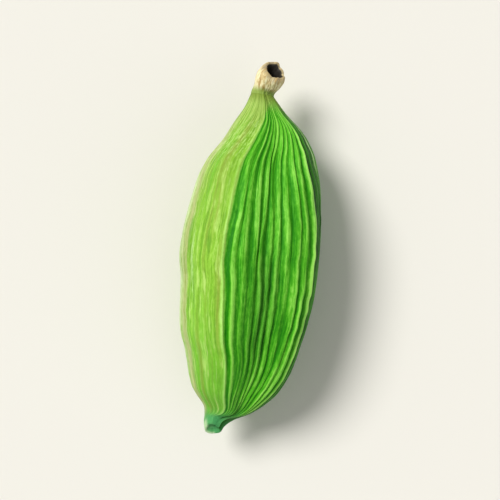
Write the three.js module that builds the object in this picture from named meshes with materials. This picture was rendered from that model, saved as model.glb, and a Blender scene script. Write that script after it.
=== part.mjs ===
// A green cardamom pod, dried and closed, lying on one of its three faces.
// Units are millimetres and +Z is up. The pod lies along Y, with its neck and dry tip towards +Y.
// The origin is on the surface that the pod lies on, under the middle of its outline.

import * as THREE from "three";

// Driving dimensions of the husk
const huskLength = 17.5;
const huskWidth = 7.2;
const huskHeight = 6.4;
const ridgeHeight = 0.2;

// Driving dimensions of the dry tip
const tipLength = 1.35;
const tipRadius = 0.72; // at its widest
const tipWall = 0.27;
const tipDepth = 0.8; // of its hollow
const tipOffset = 0.08; // of its hollow, away from the thick side of its lip
const tipRise = 42; // degrees that its mouth is turned up from the neck's axis
const tipTurn = 34; // degrees that its mouth is turned to the right
const tipGap = 0.02; // between the neck and the tip

// The dry tip's wall, first up its outside and then down into its hollow. The first number of each pair is
// the share of its length, and the second the share of its own or its hollow's radius.
const tipFloor = 1 - tipDepth / tipLength;
const tipOutside = [
  [0, 0.78], [0.12, 0.81], [0.28, 0.87], [0.46, 0.95], [0.64, 1], [0.8, 0.99], [0.93, 0.93],
];
const tipInside = [
  [1, 1.3], [0.98, 1.1], [0.9, 0.97], [0.75, 0.92], [tipFloor + 0.06, 0.8], [tipFloor, 0.5],
];

// How finely the surfaces are divided
const columnsPerRib = 4;
const huskRows = 35;
const rowEasing = 0.75; // how much closer together they stand towards both ends
const tipColumns = 30;

// Outlines of the husk. The first number of each pair is the share of the length from the neck's end.
// Seen from above, the edges stand left and right of the neck's axis, in shares of the width.
const leftEdge = [
  [0, 0.082], [0.042, 0.113], [0.094, 0.177], [0.147, 0.236], [0.199, 0.315], [0.251, 0.367],
  [0.304, 0.392], [0.4, 0.421], [0.48, 0.429], [0.525, 0.416], [0.565, 0.392], [0.67, 0.362],
  [0.723, 0.338], [0.775, 0.287], [0.88, 0.197], [0.93, 0.094], [0.955, 0.078], [0.98, 0.074], [1, 0.06],
];
const rightEdge = [
  [0, 0.082], [0.042, 0.18], [0.094, 0.326], [0.147, 0.42], [0.199, 0.472], [0.251, 0.51],
  [0.356, 0.549], [0.461, 0.572], [0.565, 0.577], [0.67, 0.551], [0.775, 0.503], [0.827, 0.462],
  [0.88, 0.39], [0.932, 0.262], [0.963, 0.14], [0.982, 0.086], [1, 0.062],
];
// Seen from the side, the edges stand above the surface, in shares of the height.
// The lower edge dips under the surface along the flat spot.
const topEdge = [
  [0, 0.54], [0.05, 0.575], [0.12, 0.72], [0.22, 0.88], [0.35, 0.97], [0.5, 1],
  [0.65, 0.972], [0.78, 0.86], [0.88, 0.69], [0.94, 0.53], [0.97, 0.49], [1, 0.465],
];
const lowerEdge = [
  [0, 0.37], [0.05, 0.34], [0.12, 0.2], [0.22, 0.065], [0.32, -0.004], [0.42, -0.028], [0.54, -0.032],
  [0.66, -0.004], [0.78, 0.085], [0.88, 0.22], [0.94, 0.325], [0.97, 0.343], [1, 0.36],
];

// Where the three ridges stand round the section, in degrees anticlockwise from the right,
// seen from the nub's end towards the neck.
const rightRidge = [[0, 44], [0.15, 44], [0.25, 38], [0.36, 31], [0.5, 28], [0.65, 28], [0.85, 32], [1, 36]];
const topRidge = [
  [0, 84], [0.03, 87], [0.07, 95], [0.11, 103], [0.17, 108], [0.3, 109], [0.6, 107], [0.88, 99], [1, 97],
];
const lowerRidge = [[0, 220], [0.25, 211], [0.5, 207], [0.75, 210], [1, 219]];

// The right, left and lower face. The ribs of each stand between its two ridges, on a skin that stands
// at the level given here over the furrows of the right face.
const faces = [
  { from: rightRidge, to: topRidge, wrap: 0, ribs: 9, ribHeight: 0.2, level: 0, flatness: 0.21 },
  { from: topRidge, to: lowerRidge, wrap: 0, ribs: 9, ribHeight: 0.08, level: 0.08, flatness: 0.13 },
  { from: lowerRidge, to: rightRidge, wrap: 360, ribs: 15, ribHeight: 0.12, level: 0.04, flatness: 0.1 },
];
const ribSharpness = 1.8;
const ribDrift = 0.24; // how far a rib wanders along its length, in steps between ribs
const ribScatter = 0.2; // how unevenly the ribs are spaced, in steps between ribs

// The nub: rings past the rim of its curled end, as [share of the rim's size, depth in millimetres]
const nubHollow = [[0.74, 0.01], [0.56, 0.09]];
const nubHollowDepth = 0.14;
const nubFolds = 0.12; // how deep its three folds are, as a share of its radius
const nubSlant = 1.0; // how far its end turns up, as a run over a rise
const nubPivot = 0.38; // the share of its height at which it turns

const TAU = 2 * Math.PI;
const { degToRad, lerp, smoothstep } = THREE.MathUtils;

// The value at t of a smooth curve through points of the form [t, value].
function valueAt(points, t) {
  const last = points.length - 1;
  const i = Math.max(points.findIndex((point) => point[0] >= t), 1);
  const slope = (k) => {
    const before = points[Math.max(k - 1, 0)];
    const after = points[Math.min(k + 1, last)];
    return (after[1] - before[1]) / (after[0] - before[0]);
  };
  const [t0, v0] = points[i - 1];
  const [t1, v1] = points[i];
  const h = t1 - t0;
  const s = (t - t0) / h;
  const blend = s * s * (3 - 2 * s);
  const leaving = s * (1 - s) * (1 - s) * h * slope(i - 1);
  const arriving = s * s * (s - 1) * h * slope(i);
  return lerp(v0, v1, blend) + leaving + arriving;
}

// A number from 0 to 1 that is always the same for the same seed.
function scatter(seed) {
  const x = Math.sin(seed * 12.9898 + 4.1414) * 43758.5453;
  return x - Math.floor(x);
}

// A smooth wave along the length, from -1 to 1, different for each seed.
function wave(seed, t) {
  const slow = Math.sin(TAU * (1.3 * t + scatter(seed)));
  const quick = Math.sin(TAU * (2.9 * t + scatter(seed + 0.5)));
  return 0.6 * slow + 0.4 * quick;
}

// How far across its face rib k stands, from 0 at the first ridge to 1 at the second.
// Rib 0 and the one past the last are the ridges themselves.
function ribPlace(face, k, t) {
  const steps = faces[face].ribs + 1;
  if (k === 0 || k === steps) return k / steps;
  const drift = ribDrift * wave(10 * face + k, t) + ribScatter * (scatter(31 * face + k) - 0.5);
  return (k + drift) / steps;
}

// How far the crest of rib k stands out of the skin beside it.
function ribHeight(face, k, t) {
  const { ribs, level, ribHeight: tallest } = faces[face];
  if (k === 0 || k === ribs + 1) return ridgeHeight - level;
  const strength = 0.5 + 0.5 * scatter(7 * face + 3 * k);
  const fade = 0.7 + 0.3 * wave(50 + 10 * face + k, t);
  return tallest * strength * fade;
}

// The shape of a rib from its crest, at 0, to the middle of the furrow, at 0.5 and beyond.
const crest = (v) => Math.pow(Math.cos(Math.PI * Math.min(v, 0.5)), ribSharpness);

// The point between ribs k and k + 1 of a face at share t of the length, not yet fitted to the outlines.
function sectionPoint(t, face, k, between) {
  const { from, to, wrap, level, flatness } = faces[face];
  const across = lerp(ribPlace(face, k, t), ribPlace(face, k + 1, t), between);
  const angle = degToRad(lerp(valueAt(from, t), valueAt(to, t) + wrap, across));
  const halfWidth = (huskWidth * (valueAt(leftEdge, t) + valueAt(rightEdge, t))) / 2;
  const slender = Math.pow((2 * halfWidth) / huskWidth, 0.7);
  const plump = smoothstep(t, 0, 0.2) * (1 - smoothstep(t, 0.86, 0.97));
  const flat = flatness * plump * Math.sin(Math.PI * across) ** 2;
  const folds = nubFolds * smoothstep(t, 0.94, 0.98) * Math.cos(3 * angle + 0.6);
  const ribsHere = ribHeight(face, k, t) * crest(between) + ribHeight(face, k + 1, t) * crest(1 - between);
  const radius = halfWidth * (1 - flat + folds) + slender * (level + ribsHere);
  return new THREE.Vector2(radius * Math.cos(angle), radius * Math.sin(angle));
}

// The section at share t of the length, stretched to touch the four outlines. It slants along the nub.
function huskRing(t) {
  const section = [];
  faces.forEach(({ ribs }, face) => {
    for (let k = 0; k <= ribs; k += 1) {
      for (let j = 0; j < columnsPerRib; j += 1) section.push(sectionPoint(t, face, k, j / columnsPerRib));
    }
  });
  const { min, max } = new THREE.Box2().setFromPoints(section);
  const left = -huskWidth * valueAt(leftEdge, t);
  const right = huskWidth * valueAt(rightEdge, t);
  const bottom = huskHeight * valueAt(lowerEdge, t);
  const top = huskHeight * valueAt(topEdge, t);
  const slant = nubSlant * smoothstep(t, 0.94, 1);
  const pivot = lerp(bottom, top, nubPivot);
  return section.map((point) => {
    const x = lerp(left, right, (point.x - min.x) / (max.x - min.x));
    const z = Math.max(lerp(bottom, top, (point.y - min.y) / (max.y - min.y)), 0);
    return new THREE.Vector3(x, -huskLength * t + slant * (z - pivot), z);
  });
}

function middle(ring) {
  return ring.reduce((sum, point) => sum.add(point), new THREE.Vector3()).divideScalar(ring.length);
}

// A closed solid from rings of points, with one point that closes each end.
function solidFromRings(first, rings, last) {
  const count = rings[0].length;
  const points = [first, ...rings.flat(), last];
  const at = (ring, i) => 1 + ring * count + (i % count);
  const index = [];
  for (let i = 0; i < count; i += 1) {
    index.push(0, at(0, i + 1), at(0, i));
    index.push(points.length - 1, at(rings.length - 1, i), at(rings.length - 1, i + 1));
    for (let ring = 0; ring < rings.length - 1; ring += 1) {
      index.push(at(ring, i), at(ring, i + 1), at(ring + 1, i + 1));
      index.push(at(ring, i), at(ring + 1, i + 1), at(ring + 1, i));
    }
  }
  const geometry = new THREE.BufferGeometry().setFromPoints(points);
  geometry.setIndex(index);
  geometry.computeVertexNormals();
  return geometry;
}

// The share of the husk's length at which a row stands.
function rowShare(row) {
  const even = row / huskRows;
  const eased = 0.5 - 0.5 * Math.cos(Math.PI * even);
  return lerp(even, eased, rowEasing);
}

function makeHusk() {
  const rings = [];
  for (let row = 0; row <= huskRows; row += 1) rings.push(huskRing(rowShare(row)));
  const rim = rings[huskRows];
  const rimMiddle = middle(rim);
  const inward = (point, share, depth) => {
    const moved = point.clone().lerp(rimMiddle, 1 - share);
    moved.y += depth;
    return moved;
  };
  nubHollow.forEach(([share, depth]) => rings.push(rim.map((point) => inward(point, share, depth))));
  return solidFromRings(middle(rings[0]), rings, inward(rimMiddle, 0, nubHollowDepth));
}

// The direction in which the dry tip's bent tube runs at share s of its length.
function tipHeading(s) {
  const rise = degToRad(tipRise) * s;
  const turn = degToRad(tipTurn) * s;
  return new THREE.Vector3(Math.sin(turn) * Math.cos(rise), Math.cos(turn) * Math.cos(rise), Math.sin(rise));
}

// A ring round the dry tip's tube, set off from its middle line. Its mouth is uneven, and that fades
// down the wall.
function tipRing(base, s, radius, offset) {
  const ring = [];
  for (let i = 0; i < tipColumns; i += 1) {
    const angle = (TAU * i) / tipColumns;
    const uneven = 0.035 * Math.sin(3 * angle + 0.8) + 0.02 * Math.sin(7 * angle + 2.1);
    const share = s + uneven * smoothstep(s, 0.5, 1);
    const folds = 1 + 0.04 * Math.cos(3 * angle + 0.6) + 0.02 * Math.cos(7 * angle);
    const heading = tipHeading(share);
    const side = new THREE.Vector3(heading.y, -heading.x, 0).normalize();
    const over = new THREE.Vector3().crossVectors(side, heading);
    const centre = base.clone().addScaledVector(tipHeading(share / 2), tipLength * share);
    centre.addScaledVector(side, radius * folds * Math.cos(angle));
    ring.push(centre.addScaledVector(over, radius * folds * Math.sin(angle) - offset));
  }
  return ring;
}

// The tip is narrow on the neck and swells to a thick, round lip, which turns in to the hollow.
function makeDryTip() {
  const base = middle(huskRing(0));
  base.y += tipGap;
  const rings = [
    ...tipOutside.map(([s, share]) => tipRing(base, s, share * tipRadius, 0)),
    ...tipInside.map(([s, share]) => tipRing(base, s, share * (tipRadius - tipWall), tipOffset)),
  ].map((ring) => ring.reverse());
  const bottom = middle(rings[rings.length - 1]);
  return solidFromRings(base, rings, bottom);
}

function makeMesh(name, geometry, colour, roughness) {
  const mesh = new THREE.Mesh(
    geometry,
    new THREE.MeshStandardMaterial({ color: colour, roughness, metalness: 0 }),
  );
  mesh.name = name;
  return mesh;
}

const pod = new THREE.Group();
pod.add(makeMesh("husk", makeHusk(), 0x6fae3a, 0.6));
pod.add(makeMesh("dry_tip", makeDryTip(), 0xcdb083, 0.85));

const outline = new THREE.Box3().setFromObject(pod);
pod.position.x = -(outline.min.x + outline.max.x) / 2;
pod.position.y = -(outline.min.y + outline.max.y) / 2;

export default pod;
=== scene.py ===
# A dried green cardamom pod, lying on a plain pale floor and seen from straight above.
# The pod's own sizes are in millimetres and its points are turned into metres last. All else is in metres.
import math

import bpy
import numpy as np
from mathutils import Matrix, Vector


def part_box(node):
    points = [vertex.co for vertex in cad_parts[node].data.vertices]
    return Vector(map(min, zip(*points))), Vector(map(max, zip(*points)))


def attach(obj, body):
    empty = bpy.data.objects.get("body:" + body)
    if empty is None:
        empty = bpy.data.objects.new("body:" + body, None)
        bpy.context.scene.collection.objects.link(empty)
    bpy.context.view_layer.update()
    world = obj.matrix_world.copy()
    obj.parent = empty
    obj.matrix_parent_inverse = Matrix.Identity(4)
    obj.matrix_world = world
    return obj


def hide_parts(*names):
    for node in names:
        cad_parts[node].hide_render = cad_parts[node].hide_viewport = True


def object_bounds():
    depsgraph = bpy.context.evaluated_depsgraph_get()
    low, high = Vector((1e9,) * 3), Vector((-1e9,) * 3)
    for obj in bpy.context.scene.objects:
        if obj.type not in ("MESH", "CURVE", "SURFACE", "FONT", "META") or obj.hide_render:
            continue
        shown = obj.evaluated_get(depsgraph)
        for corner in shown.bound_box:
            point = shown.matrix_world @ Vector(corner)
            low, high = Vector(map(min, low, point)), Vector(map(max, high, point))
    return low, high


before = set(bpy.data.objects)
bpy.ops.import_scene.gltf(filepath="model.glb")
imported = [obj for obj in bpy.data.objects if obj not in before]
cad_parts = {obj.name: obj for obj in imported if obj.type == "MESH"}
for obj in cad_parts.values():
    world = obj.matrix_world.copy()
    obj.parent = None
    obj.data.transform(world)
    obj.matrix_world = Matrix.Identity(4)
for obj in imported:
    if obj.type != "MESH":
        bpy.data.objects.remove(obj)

CAD_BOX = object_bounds()
MM = 0.001
TAU = 2 * math.pi

# Camera: it looks straight down, and the pod leans a little to the right in the frame.
LEAN = 8.4
FRAME_SHARE = 0.76  # of the frame's height, filled by the pod
LENS = 85
SENSOR = 36

# Husk, in millimetres
HUSK_LENGTH = 17.5
HUSK_WIDTH = 7.2
HUSK_HEIGHT = 6.4
RIDGE_HEIGHT = 0.2
RIB_SHARPNESS = 1.8
RIDGE_SHARPNESS = 3.5
COLUMNS_PER_RIB = 16
HUSK_ROWS = 161
HOLLOW_ROWS = 12  # odd together with the husk's, as TIP_ROWS is, because tube_skin halves a tube first
CROWDING = 0.75  # of the rows towards both ends, from none at 0

# Its low relief: veins between the ribs, threads beside them, crinkles across them and soft dents
VEIN_HEIGHT = 0.045
THREAD_HEIGHT = 0.03
CRINKLE_HEIGHT = 0.035
DENT_HEIGHT = 0.07
# The colour is lighter on raised relief and darker in its low parts by these amounts: painted light and
# painted shade.
VEIN_PAINTED_LIGHT = 9  # how much lighter it is, for each millimetre of height
DENT_PAINTED_LIGHT = 2

# Dry tip, in millimetres and degrees
TIP_LENGTH = 1.35
TIP_RADIUS = 0.72
TIP_WALL = 0.27
TIP_DEPTH = 0.8
TIP_OFFSET = 0.08
TIP_RISE = 42
TIP_TURN = 34
TIP_GAP = 0.02
TIP_ROWS = 97
TIP_STEP = 3  # columns of the husk for each column of the dry tip
TIP_FLOOR = 1 - TIP_DEPTH / TIP_LENGTH
TIP_DARK = (0.61, 0.74)  # where it turns dark inside its hollow, painted shade over its own dark brown, in shares of the way up its outside and down its inside

# Its outline, outside and inside: shares of its length with shares of its radius or of its hollow's
TIP_OUTSIDE = [(-0.03, 0.78), (0.12, 0.81), (0.28, 0.87), (0.46, 0.95), (0.64, 1), (0.8, 0.99), (0.93, 0.93)]
TIP_INSIDE = [(1, 1.3), (0.98, 1.1), (0.9, 0.97), (0.75, 0.92), (TIP_FLOOR + 0.06, 0.8), (TIP_FLOOR, 0.05)]

# Outlines of the husk, from the neck's end, in shares of its length, width and height
LEFT_EDGE = [
    (0, 0.082), (0.042, 0.113), (0.094, 0.177), (0.147, 0.236), (0.199, 0.315), (0.251, 0.367),
    (0.304, 0.392), (0.4, 0.421), (0.48, 0.429), (0.525, 0.416), (0.565, 0.392), (0.67, 0.362),
    (0.723, 0.338), (0.775, 0.287), (0.88, 0.197), (0.93, 0.094), (0.955, 0.078), (0.98, 0.074), (1, 0.06),
]
RIGHT_EDGE = [
    (0, 0.082), (0.042, 0.18), (0.094, 0.326), (0.147, 0.42), (0.199, 0.472), (0.251, 0.51),
    (0.356, 0.549), (0.461, 0.572), (0.565, 0.577), (0.67, 0.551), (0.775, 0.503), (0.827, 0.462),
    (0.88, 0.39), (0.932, 0.262), (0.963, 0.14), (0.982, 0.086), (1, 0.062),
]
TOP_EDGE = [
    (0, 0.54), (0.05, 0.575), (0.12, 0.72), (0.22, 0.88), (0.35, 0.97), (0.5, 1),
    (0.65, 0.972), (0.78, 0.86), (0.88, 0.69), (0.94, 0.53), (0.97, 0.49), (1, 0.465),
]
LOWER_EDGE = [
    (0, 0.37), (0.05, 0.34), (0.12, 0.2), (0.22, 0.065), (0.32, -0.004), (0.42, -0.028), (0.54, -0.032),
    (0.66, -0.004), (0.78, 0.085), (0.88, 0.22), (0.94, 0.325), (0.97, 0.343), (1, 0.36),
]

# Where the ridges stand round the section, in degrees anticlockwise from the right, seen from the nub
RIGHT_RIDGE = [(0, 44), (0.15, 44), (0.25, 38), (0.36, 31), (0.5, 28), (0.65, 28), (0.85, 32), (1, 36)]
TOP_RIDGE = [
    (0, 84), (0.03, 87), (0.07, 95), (0.11, 103), (0.17, 108), (0.3, 109), (0.6, 107), (0.88, 99), (1, 97),
]
LOWER_RIDGE = [(0, 220), (0.25, 211), (0.5, 207), (0.75, 210), (1, 219)]

# The right, left and lower face. The ribs of each stand between its two ridges, on a skin at its level,
# and thin veins stand between the ribs. Heights are in millimetres.
FACE_KEYS = ("start", "end", "wrap", "ribs", "tallest", "level", "flat", "veins")
FACES = [
    dict(zip(FACE_KEYS, (RIGHT_RIDGE, TOP_RIDGE, 0, 9, 0.2, 0, 0.21, 1.0))),
    dict(zip(FACE_KEYS, (TOP_RIDGE, LOWER_RIDGE, 0, 9, 0.08, 0.08, 0.13, 0.35))),
    dict(zip(FACE_KEYS, (LOWER_RIDGE, RIGHT_RIDGE, 360, 15, 0.12, 0.04, 0.1, 0.8))),
]
RIGHT_FACE, LEFT_FACE = 0, 1
COLUMNS = [
    (face, k, j / COLUMNS_PER_RIB)
    for face, form in enumerate(FACES)
    for k in range(form["ribs"] + 1)
    for j in range(COLUMNS_PER_RIB)
]
TURNS = np.arange(len(COLUMNS)) / len(COLUMNS)

# Colour beside and on the ridges
LIGHT_BY_RIDGE = 0.25  # how much lighter the right face's ribs are beside the top ridge
RIDGE_LINE = 9  # sharpness of the pale line on a ridge

# Long marks on the faces, all but the pale streak painted shade or painted highlight: how strong, where
# across the face and how wide, and where along the husk the mark starts, is whole, begins to fade and ends
# Painted shade in the furrow beside the top ridge, on the right face
PAINTED_SHADE_BY_RIDGE = (0.27, 0.94, 0.022, 0.22, 0.4, 1, 1.1)
# Painted shade down the middle of the right face
PAINTED_SHADE_MIDDLE = (0.7, 0.54, 0.16, 0.4, 0.55, 0.7, 0.86)
# Painted highlight along the left face's outer flank
PAINTED_HIGHLIGHT_FLANK = (0.6, 0.75, 0.1, 0.08, 0.3, 0.8, 0.95)
PALE_STREAK = (0.45, 0.38, 0.035, 0.36, 0.48, 0.56, 0.68)
# Painted highlight: a pale line near the lower face's outer edge
PAINTED_HIGHLIGHT_EDGE = (0.6, 0.885, 0.02, 0.03, 0.07, 0.14, 0.3)

# The nub. Its end is a shallow cup: from its rim inwards, the size of the rings as a share of the rim's,
# and how deep they lie, in millimetres.
NUB_FOLDS = 0.12
NUB_SLANT = 1.0  # how far its end turns up, as a run over a rise
NUB_PIVOT = 0.38  # the share of its height at which it turns
NUB_HOLLOW_SIZE = [(0, 1), (0.2, 0.9), (0.4, 0.74), (0.65, 0.56), (0.85, 0.28), (1, 0.02)]
NUB_HOLLOW_DEPTH = [(0, 0), (0.2, -0.03), (0.4, 0.01), (0.65, 0.09), (0.85, 0.13), (1, 0.14)]
NUB_CREASE = 0.14  # depth of the furrow beside it
NUB_LIT_SIDE = 215  # the side of its rim that is painted pale where it faces the light, a painted highlight, in degrees as the ridges
NUB_PAINTED_LIGHT = 0.75

# Where the neck and the tip meet
ACROSS_NECK = 22.0  # density of the fibres
# The olive is partly the neck's own dried colour and partly painted shade under the tip
NECK_OLIVE = 0.7  # share of olive in their colour


def value_at(points, t):
    """The value at t of a smooth curve through the points."""
    places, values = np.array(points, float).T
    last = len(places) - 1
    before = np.maximum(np.arange(last + 1) - 1, 0)
    after = np.minimum(np.arange(last + 1) + 1, last)
    slopes = (values[after] - values[before]) / (places[after] - places[before])
    i = np.clip(np.searchsorted(places, t), 1, last)
    h = places[i] - places[i - 1]
    s = (t - places[i - 1]) / h
    blend = s * s * (3 - 2 * s)
    leaving = s * (1 - s) ** 2 * h * slopes[i - 1]
    arriving = s * s * (s - 1) * h * slopes[i]
    return values[i - 1] + blend * (values[i] - values[i - 1]) + leaving + arriving


def smoothstep(x, low, high):
    s = np.clip((x - low) / (high - low), 0, 1)
    return s * s * (3 - 2 * s)


def lerp(a, b, share):
    return a + (b - a) * share


def bell(x, middle, width):
    return np.exp(-(((x - middle) / width) ** 2))


def scatter(seed, row=0):
    """A number from 0 to 1 that is always the same for the same seed and row."""
    x = np.sin(seed * 12.9898 + row * 78.233 + 4.1414) * 43758.5453
    return x - np.floor(x)


def wave(seed, t):
    """A smooth wave along the length, from -1 to 1, different for each seed."""
    slow = np.sin(TAU * (1.3 * t + scatter(seed)))
    quick = np.sin(TAU * (2.9 * t + scatter(seed + 0.5)))
    return 0.6 * slow + 0.4 * quick


def crest(v, sharpness):
    """The shape of a rib from its crest, at 0, to the middle of the furrow, at 0.5 and beyond."""
    return math.cos(math.pi * v) ** sharpness if v < 0.5 else 0.0


def rib_place(face, k, t):
    """How far across its face a rib stands. The first and the last are the ridges."""
    steps = FACES[face]["ribs"] + 1
    if k in (0, steps):
        return np.full_like(t, k / steps)
    drift = 0.24 * wave(10 * face + k, t) + 0.2 * (scatter(31 * face + k) - 0.5)
    return (k + drift) / steps


def rib_relief(face, k, t, away):
    """How far a rib stands out of the skin, at a distance away from its crest in steps between ribs."""
    shape = FACES[face]
    if k in (0, shape["ribs"] + 1):
        return np.full_like(t, RIDGE_HEIGHT - shape["level"]) * crest(away, RIDGE_SHARPNESS)
    strength = 0.5 + 0.5 * scatter(7 * face + 3 * k)
    fade = 0.7 + 0.3 * wave(50 + 10 * face + k, t)
    return shape["tallest"] * strength * fade * crest(away, RIB_SHARPNESS)


def tube_noise(turns, along, cells_round, cells_along, seed):
    """Soft noise on a tube, mostly from -0.5 to 0.5, with no seam round it."""
    x, y = turns * cells_round, along * cells_along + seed
    column, row = np.floor(x), np.floor(y)
    across, down = smoothstep(x - column, 0, 1), smoothstep(y - row, 0, 1)
    near = lerp(scatter(column % cells_round, row), scatter((column + 1) % cells_round, row), across)
    far = lerp(scatter(column % cells_round, row + 1), scatter((column + 1) % cells_round, row + 1), across)
    return 1.2 * (lerp(near, far, down) - 0.5)


def fine_relief(t):
    """Low relief in millimetres over the whole husk: veins with threads, and crinkles with soft dents."""
    rows = t[:, None]
    veins = VEIN_HEIGHT * (0.5 - np.abs(tube_noise(TURNS, rows, 180, 9, 0)))
    threads = THREAD_HEIGHT * tube_noise(TURNS, rows, 90, 11, 40)
    crinkles = CRINKLE_HEIGHT * tube_noise(TURNS, rows, 44, 38, 80)
    dents = DENT_HEIGHT * tube_noise(TURNS, rows, 8, 5, 120)
    return veins + threads, crinkles + dents


def fitted(values, low, high):
    """Each row of values stretched to run from low to high."""
    least, most = values.min(1, keepdims=True), values.max(1, keepdims=True)
    return lerp(low[:, None], high[:, None], (values - least) / (most - least))


def mark(kind, across, t):
    """How strong a long mark is at a place across its face and along the husk."""
    strength, middle, width, start, whole, fading, end = kind
    return strength * bell(across, middle, width) * smoothstep(t, start, whole) * smoothstep(t, end, fading)


def nub_crease(face, across, t):
    """How deep a column is in the furrow between the nub and the end of the right face."""
    if face != RIGHT_FACE:
        return 0
    middle = lerp(0.55, 0.37, (t - 0.92) / 0.053)
    return mark((1, middle, 0.13, 0.88, 0.94, 0.965, 0.985), across, t)


def face_measures(face, k, between, across, t):
    """How much a column is a ridge, how yellow and dry, and how much painted shade and paleness it takes
    along its length.
    """
    first = crest(between, RIDGE_LINE) * (k == 0)
    last = crest(1 - between, RIDGE_LINE) * (k == FACES[face]["ribs"])
    top_ridge = lerp(0.3, 1, smoothstep(t, 0.18, 0.42))
    if face == RIGHT_FACE:
        green_until = lerp(0.3, 0.965, smoothstep(t, -0.02, 0.09))
        blend = lerp(0.6, 0.035, smoothstep(t, 0, 0.15))
        return {
            "ridge": first + last * top_ridge,
            "yellow": smoothstep(across, green_until, green_until + blend),
            "dry": 0,
            # Painted shade down the right face's middle and in the crease by the nub
            "dark": np.maximum(mark(PAINTED_SHADE_MIDDLE, across, t), nub_crease(face, across, t)),
            "pale": 0,
        }
    if face == LEFT_FACE:
        return {
            "ridge": last + first * top_ridge,
            "yellow": 1,
            "dry": smoothstep(across, 0.36, 0.6),
            "dark": 0,
            # Painted highlight along the outer flank, and a pale streak of its own
            "pale": np.maximum(mark(PAINTED_HIGHLIGHT_FLANK, across, t), mark(PALE_STREAK, across, t)),
        }
    # On the lower face, painted shade darkens the strip towards the right ridge, and a painted highlight lays
    # a pale line near its outer edge
    edge = mark(PAINTED_HIGHLIGHT_EDGE, across, t)
    return {
        "ridge": first + last,
        "yellow": np.maximum(smoothstep(across, 0.65, 0.2), edge),
        "dry": smoothstep(across, 0.25, 0),
        "dark": smoothstep(across, 0.55, 0.97) * (1 - edge),
        "pale": edge,
    }


def column_surface(column, t, half_width, veins, dents):
    """A column of the husk: its two coordinates in the section before the fit, and its measures."""
    face, k, between = column
    form = FACES[face]
    slender = (2 * half_width / HUSK_WIDTH) ** 0.7
    plump = smoothstep(t, 0, 0.2) * (1 - smoothstep(t, 0.86, 0.97))
    across = lerp(rib_place(face, k, t), rib_place(face, k + 1, t), between)
    start, end = value_at(form["start"], t), value_at(form["end"], t) + form["wrap"]
    angle = np.radians(lerp(start, end, across))
    flat = form["flat"] * plump * np.sin(math.pi * across) ** 2
    folds = NUB_FOLDS * smoothstep(t, 0.94, 0.98) * np.cos(3 * angle + 0.6)
    ribs = rib_relief(face, k, t, between) + rib_relief(face, k + 1, t, 1 - between)
    relief = form["level"] + ribs + form["veins"] * veins + dents
    relief = relief - NUB_CREASE * nub_crease(face, across, t)
    radius = half_width * (1 - flat + folds) + slender * relief

    measures = face_measures(face, k, between, across, t)
    rise = np.minimum(ribs / form["tallest"], 1)
    # The crest measure makes rib crests, veins and dents lighter and the furrows darker: partly the ribs' own
    # paler colour, partly painted shade in the furrows.
    measures["crest"] = rise + VEIN_PAINTED_LIGHT * veins + DENT_PAINTED_LIGHT * dents
    if face == RIGHT_FACE:
        measures["crest"] += LIGHT_BY_RIDGE * rise * smoothstep(across, 0.68, 0.84)
        # Painted shade in the furrow beside the top ridge
        measures["crest"] -= mark(PAINTED_SHADE_BY_RIDGE, across, t)
    # The nub's rim is painted pale on the side that faces the light: painted highlight
    lip = smoothstep(np.cos(angle - math.radians(NUB_LIT_SIDE)), -0.3, 0.5) * smoothstep(t, 0.968, 0.99)
    measures["pale"] = np.maximum(measures["pale"], NUB_PAINTED_LIGHT * lip)
    return radius * np.cos(angle), radius * np.sin(angle), measures


def add_cup(places, measures, t):
    """Places and measures with the rows of the cup at the nub's end, and with the measure along the husk."""
    share = np.linspace(0, 1, HOLLOW_ROWS + 1)[1:, None]
    cup = lerp(places[-1].mean(0), places[-1], value_at(NUB_HOLLOW_SIZE, share[..., None]))
    cup[..., 1] += value_at(NUB_HOLLOW_DEPTH, share)
    for name, values in measures.items():
        measures[name] = np.concatenate([values, np.repeat(values[-1:], HOLLOW_ROWS, 0)])
    measures["pale"][HUSK_ROWS:] *= smoothstep(share, 0.55, 0.3)
    along = np.concatenate([t, 1 + 0.02 * share[:, 0]])
    measures["along"] = np.repeat(along[:, None], len(COLUMNS), 1)
    return np.concatenate([places, cup]), measures


def husk_surface():
    """Places in millimetres, and surface measures, for each row and column of the husk."""
    even = np.linspace(0, 1, HUSK_ROWS)
    t = lerp(even, 0.5 - 0.5 * np.cos(math.pi * even), CROWDING)
    half_width = HUSK_WIDTH * (value_at(LEFT_EDGE, t) + value_at(RIGHT_EDGE, t)) / 2
    veins, dents = fine_relief(t)
    shape = (HUSK_ROWS, len(COLUMNS))
    x, z = np.empty(shape), np.empty(shape)
    measures = {name: np.empty(shape) for name in ("crest", "ridge", "yellow", "dry", "dark", "pale")}
    for c, column in enumerate(COLUMNS):
        x[:, c], z[:, c], found = column_surface(column, t, half_width, veins[:, c], dents[:, c])
        for name, values in found.items():
            measures[name][:, c] = values

    x = fitted(x, -HUSK_WIDTH * value_at(LEFT_EDGE, t), HUSK_WIDTH * value_at(RIGHT_EDGE, t))
    low, high = HUSK_HEIGHT * value_at(LOWER_EDGE, t), HUSK_HEIGHT * value_at(TOP_EDGE, t)
    z = np.maximum(fitted(z, low, high), 0)
    slant = NUB_SLANT * smoothstep(t, 0.94, 1)[:, None]
    y = -HUSK_LENGTH * t[:, None] + slant * (z - lerp(low, high, NUB_PIVOT)[:, None])
    return add_cup(np.stack([x, y, z], axis=-1), measures, t)


def add_grain(measures):
    """Places on a tube of radius 1, which the fibres follow."""
    along = measures["along"]
    angle = np.broadcast_to(TAU * np.arange(along.shape[1]) / along.shape[1], along.shape)
    measures["grain"] = np.stack([np.cos(angle), np.sin(angle), along], axis=-1)


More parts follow.
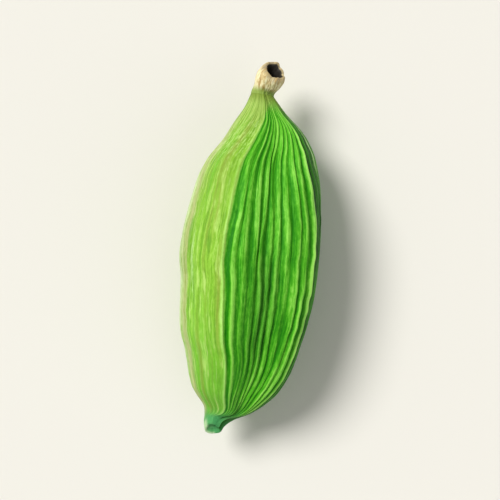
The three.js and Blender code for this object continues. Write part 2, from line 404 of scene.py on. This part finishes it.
def split_lengthwise(mesh, cuts):
    """Cuts all edges that run along Z, and the faces between them, into equal lengths. At most 100 cuts."""
    bpy.ops.object.mode_set(mode="EDIT")
    bpy.ops.mesh.select_all(action="DESELECT")
    bpy.ops.object.mode_set(mode="OBJECT")
    for edge in mesh.edges:
        first, second = (mesh.vertices[end].co.z for end in edge.vertices)
        edge.select = first != second
    bpy.ops.object.mode_set(mode="EDIT")
    bpy.ops.mesh.subdivide(number_cuts=cuts)
    bpy.ops.object.mode_set(mode="OBJECT")


def tube_skin(name, places, measures):
    """A closed tube whose rings are moved to the given places, with a surface measure at each point."""
    rows, columns = places.shape[:2]
    bpy.ops.object.select_all(action="DESELECT")
    bpy.ops.mesh.primitive_cylinder_add(vertices=columns, radius=1, depth=rows - 1, end_fill_type="TRIFAN")
    piece = bpy.context.object
    piece.name = name
    mesh = piece.data
    mesh.name = name
    bpy.context.tool_settings.mesh_select_mode = (False, True, False)
    split_lengthwise(mesh, 1)
    split_lengthwise(mesh, (rows - 1) // 2 - 1)

    start = np.empty(len(mesh.vertices) * 3, np.float32)
    mesh.vertices.foreach_get("co", start)
    start = start.reshape(-1, 3).astype(float)
    row = np.rint((rows - 1) / 2 - start[:, 2]).astype(int)
    column = np.rint(np.arctan2(start[:, 1], start[:, 0]) / TAU * columns).astype(int) % columns
    moved = places[row, column]
    in_middle = np.hypot(start[:, 0], start[:, 1]) < 0.5
    for end in (0, rows - 1):
        moved[in_middle & (row == end)] = places[end].mean(0)
    mesh.vertices.foreach_set("co", (moved * MM).astype(np.float32).ravel())
    for key, values in measures.items():
        at_points = values[row, column].astype(np.float32)
        kind, slot = ("FLOAT_VECTOR", "vector") if at_points.ndim == 2 else ("FLOAT", "value")
        mesh.attributes.new(key, kind, "POINT").data.foreach_set(slot, at_points.ravel())
    mesh.update()
    bpy.ops.object.mode_set(mode="EDIT")
    bpy.ops.mesh.select_all(action="SELECT")
    bpy.ops.mesh.normals_make_consistent(inside=False)
    bpy.ops.object.mode_set(mode="OBJECT")
    bpy.ops.object.shade_smooth()
    return piece


def make_husk():
    """The husk's skin, and the ring of places where its neck ends."""
    places, measures = husk_surface()
    low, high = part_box("husk")
    middle_x = (places[..., 0].min() + places[..., 0].max()) / 2
    places += np.array([(low.x + high.x) / 2 / MM - middle_x, high.y / MM, 0])
    add_grain(measures)
    return tube_skin("husk_skin", places, measures), places[0]


def tip_heading(s):
    """The direction of the tip's bent tube at shares s of its length."""
    rise, turn = math.radians(TIP_RISE) * s, math.radians(TIP_TURN) * s
    return np.stack([np.sin(turn) * np.cos(rise), np.cos(turn) * np.cos(rise), np.sin(rise)], axis=-1)


def tip_rings(turns, angle, neck_radius):
    """The tip's rings, outside and then inside: how far along, how wide, how far off the middle, how dark."""
    outline = [(s, size * TIP_RADIUS, 0) for s, size in TIP_OUTSIDE]
    outline += [(s, size * (TIP_RADIUS - TIP_WALL), TIP_OFFSET) for s, size in TIP_INSIDE]
    steps = np.arange(len(outline)) / (len(outline) - 1)
    q = np.linspace(0, 1, TIP_ROWS)[:, None]
    s, radius, offset = (value_at(list(zip(steps, values)), q) for values in zip(*outline))

    uneven = 0.035 * np.sin(3 * angle + 0.8) + 0.02 * np.sin(7 * angle + 2.1)
    nicks = tube_noise(turns, 0 * s, 26, 1, 3)
    s = s + (uneven + 0.025 * nicks) * smoothstep(s, 0.5, 1)
    folds = 1 + 0.04 * np.cos(3 * angle + 0.6) + 0.02 * np.cos(7 * angle)
    wrinkles = tube_noise(turns, s, 34, 1.6, 11)
    crumbs = tube_noise(turns, s, 18, 7, 23)
    grown = smoothstep(s, 0, 0.35)
    radius = lerp(neck_radius * 1.015, radius * folds + 0.018 * wrinkles + 0.022 * crumbs, grown)
    return s, radius, offset, smoothstep(np.broadcast_to(q, s.shape), *TIP_DARK)


def make_dry_tip(neck):
    """A short dried tube that grows out of the neck and swells to a thick lip round a dark hollow."""
    middle = neck.mean(0)
    from_middle = neck[::TIP_STEP] - middle
    angle = np.arctan2(from_middle[:, 2], from_middle[:, 0])[None, :]
    neck_radius = np.hypot(from_middle[:, 0], from_middle[:, 2])[None, :]
    s, radius, offset, inside = tip_rings(TURNS[::TIP_STEP], angle, neck_radius)

    heading = tip_heading(s)
    side = np.stack([heading[..., 1], -heading[..., 0], 0 * s], axis=-1)
    side /= np.linalg.norm(side, axis=-1, keepdims=True)
    over = np.cross(side, heading)
    base = middle + np.array([0, TIP_GAP, 0])
    places = base + tip_heading(s / 2) * (TIP_LENGTH * s)[..., None]
    places += side * (radius * np.cos(angle))[..., None]
    places += over * (radius * np.sin(angle) - offset)[..., None]
    measures = {"inside": inside, "along": s}
    add_grain(measures)
    return tube_skin("dry_tip_skin", places, measures)


def srgb(red, green, blue):
    """A colour given as on screen, from 0 to 255, as the light that a shader takes."""
    shares = [value / 255 for value in (red, green, blue)]
    return (*(v / 12.92 if v <= 0.04045 else ((v + 0.055) / 1.055) ** 2.4 for v in shares), 1)


def add(tree, kind, inputs=(), **settings):
    """A new node with its settings, and with values or links on the named or numbered inputs."""
    node = tree.nodes.new(kind)
    for key, value in settings.items():
        setattr(node, key, value)
    for key, value in dict(inputs).items():
        socket = node.inputs[key]
        if isinstance(value, bpy.types.NodeSocket):
            tree.links.new(value, socket)
        else:
            socket.default_value = value
    return node


def mix(tree, share, first, second):
    """Two colours mixed."""
    inputs = {0: share, 6: first, 7: second}
    return add(tree, "ShaderNodeMix", inputs, data_type="RGBA").outputs[2]


def figure(tree, operation, *values):
    """The outcome of one sum."""
    return add(tree, "ShaderNodeMath", dict(enumerate(values)), operation=operation).outputs[0]


def spread(tree, value, low, high, to_low=0, to_high=1):
    """A value eased from one range to another."""
    inputs = {"Value": value, "From Min": low, "From Max": high, "To Min": to_low, "To Max": to_high}
    return add(tree, "ShaderNodeMapRange", inputs, interpolation_type="SMOOTHSTEP").outputs[0]


def measure(tree, name, output="Fac"):
    """A surface measure of the piece."""
    return add(tree, "ShaderNodeAttribute", attribute_name=name).outputs[output]


def make_fibre_group():
    """Lengthwise fibres, the long stains that follow them, and fine pores, for the dried plant surfaces."""
    group = bpy.data.node_groups.new("dried_fibres", "ShaderNodeTree")
    for name, kind in (("Vector", "Vector"), ("Across", "Float"), ("Along", "Float")):
        group.interface.new_socket(name=name, in_out="INPUT", socket_type=f"NodeSocket{kind}")
    entry, leave = add(group, "NodeGroupInput"), add(group, "NodeGroupOutput")
    inputs = {"X": entry.outputs["Across"], "Y": entry.outputs["Across"], "Z": entry.outputs["Along"]}
    stretch = add(group, "ShaderNodeCombineXYZ", inputs).outputs[0]
    inputs = {0: entry.outputs["Vector"], 1: stretch}
    placed = add(group, "ShaderNodeVectorMath", inputs, operation="MULTIPLY").outputs[0]
    place = add(group, "ShaderNodeTexCoord").outputs["Object"]
    textures = {
        "Fibres": {"Vector": placed, "Scale": 1.0, "Detail": 4.0, "Roughness": 0.62},
        "Stains": {"Vector": placed, "Scale": 0.16, "Detail": 3.0, "Roughness": 0.6},
        "Pores": {"Vector": place, "Scale": 5200.0, "Detail": 2.0, "Roughness": 0.5},
    }
    for name, inputs in textures.items():
        group.interface.new_socket(name=name, in_out="OUTPUT", socket_type="NodeSocketFloat")
        group.links.new(add(group, "ShaderNodeTexNoise", inputs).outputs["Fac"], leave.inputs[name])
    return group


def fibres_in(tree, group, across, along):
    """The fibre group placed in a material, with its three outputs."""
    node = add(tree, "ShaderNodeGroup", node_tree=group)
    tree.links.new(measure(tree, "grain", "Vector"), node.inputs["Vector"])
    node.inputs["Across"].default_value = across
    node.inputs["Along"].default_value = along
    return node.outputs["Fibres"], node.outputs["Stains"], node.outputs["Pores"]


def ramp(tree, value, stops):
    """A colour that runs through the stops, each a place and a colour, as the value grows."""
    node = add(tree, "ShaderNodeValToRGB", {"Fac": value})
    elements = node.color_ramp.elements
    while len(elements) < len(stops):
        elements.new(1.0)
    for element, (place, colour) in zip(elements, stops):
        element.position = place
        element.color = colour
    return node.outputs["Color"]


def neck_colour(tree, fibres, olive):
    """Where the neck dries out and the tip begins, both have this colour, with its share of olive, partly its
    own dried colour and partly painted shade under the tip's lip.
    """
    pale = mix(tree, spread(tree, fibres, 0.35, 0.65), srgb(108, 150, 44), srgb(178, 206, 106))
    return mix(tree, olive, pale, srgb(118, 140, 44))


def new_material(name):
    material = bpy.data.materials.new(name)
    material.use_nodes = True
    tree = material.node_tree
    return material, tree, tree.nodes["Principled BSDF"]


def finish_surface(tree, shader, colour, roughness, height, distance):
    bump = add(tree, "ShaderNodeBump", {"Height": height, "Distance": distance * MM, "Strength": 1.0})
    tree.links.new(colour, shader.inputs["Base Color"])
    tree.links.new(roughness, shader.inputs["Roughness"])
    tree.links.new(bump.outputs["Normal"], shader.inputs["Normal"])


def right_face_colour(tree, lit):
    """Light green crests and dark green furrows, partly painted shade, and deeper green where painted shade
    lies.
    """
    green = ramp(tree, spread(tree, lit, -0.38, 1.25), [
        (0.0, srgb(26, 118, 0)), (0.35, srgb(52, 146, 8)),
        (0.7, srgb(90, 180, 36)), (1.0, srgb(138, 212, 78)),
    ])
    painted_shade_green = mix(tree, spread(tree, lit, -0.2, 1.0), srgb(8, 66, 0), srgb(60, 140, 28))
    return mix(tree, measure(tree, "dark"), green, painted_shade_green)


def left_face_colour(tree, grain, along, stains, mottles, specks):
    """Yellower green with faint crests over furrows in painted shade, stains and spots, drier towards the
    left ridge.
    """
    faint = figure(tree, "MULTIPLY_ADD", measure(tree, "crest"), 0.16, grain)
    yellow = ramp(tree, spread(tree, faint, -0.42, 0.55), [
        (0.0, srgb(84, 134, 26)), (0.4, srgb(124, 180, 44)),
        (0.7, srgb(142, 196, 62)), (1.0, srgb(178, 216, 106)),
    ])
    tints = [
        (along, 0.5, 0.22, 0.5, srgb(116, 162, 38)),
        (along, 0.5, 0.95, 0.6, srgb(98, 186, 48)),
        (stains, 0.5, 0.66, 0.6, srgb(138, 144, 62)),
        (stains, 0.48, 0.34, 0.5, srgb(104, 184, 48)),
        (mottles, 0.54, 0.7, 0.7, srgb(184, 220, 116)),
        (mottles, 0.46, 0.3, 0.7, srgb(92, 150, 36)),
    ]
    for value, none, full, share, tint in tints:
        yellow = mix(tree, spread(tree, value, none, full, 0, share), yellow, tint)
    spots = figure(tree, "MULTIPLY", spread(tree, specks, 0.66, 0.74), spread(tree, stains, 0.45, 0.6))
    yellow = mix(tree, figure(tree, "MULTIPLY", spots, 0.5), yellow, srgb(110, 104, 44))
    dry = figure(tree, "MULTIPLY_ADD", grain, 1.6, measure(tree, "dry"))
    return mix(tree, spread(tree, dry, 0.1, 1.5, 0, 0.8), yellow, srgb(188, 190, 140))


def with_dashes_and_ridges(tree, colour, grain, along, specks):
    """The colour with pale dashes on its yellow part near the neck, and with the ridges' pale lines."""
    dashes = figure(tree, "MULTIPLY", spread(tree, specks, 0.48, 0.62), measure(tree, "yellow"))
    dashes = figure(tree, "MULTIPLY", dashes, spread(tree, along, 0.28, 0.1, 0, 0.6))
    colour = mix(tree, dashes, colour, srgb(192, 228, 136))
    ridge = figure(tree, "MULTIPLY", measure(tree, "ridge"), spread(tree, grain, -0.3, 0.3, 0.3, 0.9))
    return mix(tree, ridge, colour, srgb(172, 226, 116))


def with_ends(tree, colour, grain, along, fibres):
    """The colour with the dried neck and the bluish green nub."""
    dry_until = spread(tree, measure(tree, "yellow"), 0.0, 1.0, 0.05, 0.15)
    dryness = figure(tree, "SUBTRACT", 1.0, figure(tree, "DIVIDE", along, dry_until))
    dryness = figure(tree, "MULTIPLY_ADD", grain, 0.5, dryness)
    # Olive towards the neck's end: its own dried colour with painted shade under the tip
    neck = neck_colour(tree, fibres, spread(tree, along, 0.035, 0.0, 0, NECK_OLIVE))
    colour = mix(tree, spread(tree, dryness, -0.1, 0.9), colour, neck)
    # The nub's green turns darker in the crease beside it: painted shade
    teal = mix(tree, measure(tree, "dark"), srgb(84, 174, 108), srgb(10, 84, 10))
    return mix(tree, spread(tree, along, 0.92, 0.99, 0, 0.85), colour, teal)


def green_husk_material(group):
    """Fibrous green skin: pale crests, dark furrows, a yellower left face, and ends that dry to tan."""
    material, tree, shader = new_material("green_husk")
    fibres, stains, pores = fibres_in(tree, group, ACROSS_NECK, 5.0)
    threads = fibres_in(tree, group, 60.0, 9.0)[0]
    specks = fibres_in(tree, group, 30.0, 60.0)[0]
    mottles = fibres_in(tree, group, 9.0, 8.0)[0]
    along = measure(tree, "along")
    grain = figure(tree, "MULTIPLY_ADD", specks, 0.7, figure(tree, "ADD", fibres, threads))
    grain = figure(tree, "SUBTRACT", grain, 1.35)

    # The crest measure paints shade into the furrows: painted shade, with the ribs' own paler colour.
    uneven = figure(tree, "MULTIPLY_ADD", figure(tree, "SUBTRACT", mottles, 0.5), 1.4, measure(tree, "crest"))
    lit = figure(tree, "MULTIPLY_ADD", grain, 1.5, uneven)
    lit = figure(tree, "ADD", lit, spread(tree, along, 0.5, 0.15, 0, 0.12))
    lit = figure(tree, "ADD", lit, spread(tree, along, 0.7, 0.92, 0, 0.14))
    green = right_face_colour(tree, lit)
    yellow = left_face_colour(tree, grain, along, stains, mottles, specks)
    share = figure(tree, "MULTIPLY_ADD", grain, 0.5, measure(tree, "yellow"))
    colour = mix(tree, spread(tree, share, 0.25, 0.75), green, yellow)
    colour = with_dashes_and_ridges(tree, colour, grain, along, specks)
    colour = with_ends(tree, colour, grain, along, fibres)
    # Pale marks: painted highlights, apart from the pale streak on the left face
    pale = figure(tree, "MULTIPLY_ADD", grain, 0.8, measure(tree, "pale"))
    colour = mix(tree, spread(tree, pale, 0.15, 1.0, 0, 0.9), colour, srgb(206, 234, 184))

    roughness = spread(tree, grain, -0.3, 0.3, 0.62, 0.46)
    bump = figure(tree, "MULTIPLY_ADD", pores, 0.3, figure(tree, "ADD", fibres, threads))
    finish_surface(tree, shader, colour, roughness, bump, 0.035)
    shader.inputs["Specular IOR Level"].default_value = 0.15
    return material


def dry_tip_material(group):
    """Papery cream and tan outside, and dark brown inside, deepened to near black by painted shade in the
    hollow.
    """
    material, tree, shader = new_material("dry_tip")
    fibres, _, pores = fibres_in(tree, group, ACROSS_NECK, 2.5)
    broad = fibres_in(tree, group, 5.0, 2.0)[0]
    along = measure(tree, "along")
    colour = ramp(tree, spread(tree, broad, 0.34, 0.62), [
        (0.0, srgb(158, 124, 74)), (0.4, srgb(206, 186, 130)), (1.0, srgb(240, 232, 190)),
    ])
    colour = mix(tree, spread(tree, fibres, 0.5, 0.3, 0, 0.45), colour, srgb(160, 128, 78))
    colour = mix(tree, spread(tree, along, 0.36, 0.04), colour, neck_colour(tree, fibres, NECK_OLIVE))
    burnt = figure(tree, "MULTIPLY_ADD", figure(tree, "SUBTRACT", broad, 0.5), 1.2, along)
    colour = mix(tree, spread(tree, burnt, 0.88, 1.08, 0, 0.75), colour, srgb(122, 96, 62))
    # Inside the hollow: its own dark brown, deepened with painted shade
    inside = figure(tree, "MULTIPLY_ADD", figure(tree, "SUBTRACT", fibres, 0.5), 0.5, measure(tree, "inside"))
    colour = mix(tree, spread(tree, inside, 0.15, 0.85), colour, srgb(26, 20, 10))
    roughness = spread(tree, pores, 0.3, 0.7, 0.5, 0.75)
    bump = figure(tree, "MULTIPLY_ADD", pores, 0.5, fibres)
    finish_surface(tree, shader, colour, roughness, bump, 0.02)
    return material


def make_camera():
    low, high = CAD_BOX
    data = bpy.data.cameras.new("camera")
    data.lens = LENS
    data.sensor_width = SENSOR
    half_frame = (high.y - low.y) / FRAME_SHARE / 2
    distance = half_frame / (SENSOR / 2 / LENS)
    data.clip_start = distance / 100
    camera = bpy.data.objects.new("camera", data)
    bpy.context.scene.collection.objects.link(camera)
    camera.location = ((low.x + high.x) / 2, (low.y + high.y) / 2, high.z / 2 + distance)
    camera.rotation_euler = (0, 0, math.radians(LEAN))
    bpy.context.scene.camera = camera


def make_light(name, place, spread_angle, strength, colour):
    """A distant soft light that shines from the place towards the pod."""
    data = bpy.data.lights.new(name, "SUN")
    data.angle = math.radians(spread_angle)
    data.energy = strength
    data.color = colour
    light = bpy.data.objects.new(name, data)
    bpy.context.scene.collection.objects.link(light)
    light.location = place
    light.rotation_euler = (-Vector(place)).to_track_quat("-Z", "Y").to_euler()


def make_studio():
    make_light("key_light", (-0.14, 0.08, 0.18), 26, 3.5, (1.0, 0.985, 0.95))
    make_light("fill_light", (0.2, -0.1, 0.16), 60, 0.45, (1.0, 1.0, 0.98))
    world = bpy.data.worlds.new("studio")
    world.use_nodes = True
    backdrop = world.node_tree.nodes["Background"]
    backdrop.inputs["Color"].default_value = srgb(242, 242, 238)
    backdrop.inputs["Strength"].default_value = 0.38
    bpy.context.scene.world = world
    bpy.context.scene.view_settings.view_transform = "Standard"
    bpy.ops.object.select_all(action="DESELECT")
    bpy.ops.mesh.primitive_plane_add(size=2)
    floor = bpy.context.object
    floor.name = "floor"
    material, _, shader = new_material("pale_floor")
    shader.inputs["Base Color"].default_value = srgb(222, 220, 214)
    shader.inputs["Roughness"].default_value = 0.8
    floor.data.materials.append(material)


def dress(piece, material, node):
    """The piece takes its material, moves with the pod and stands for the node."""
    piece.data.materials.clear()
    piece.data.materials.append(material)
    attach(piece, "root")
    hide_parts(node)


make_camera()
make_studio()
fibre_group = make_fibre_group()
husk_skin, neck_ring = make_husk()
dress(husk_skin, green_husk_material(fibre_group), "husk")
dress(make_dry_tip(neck_ring), dry_tip_material(fibre_group), "dry_tip")
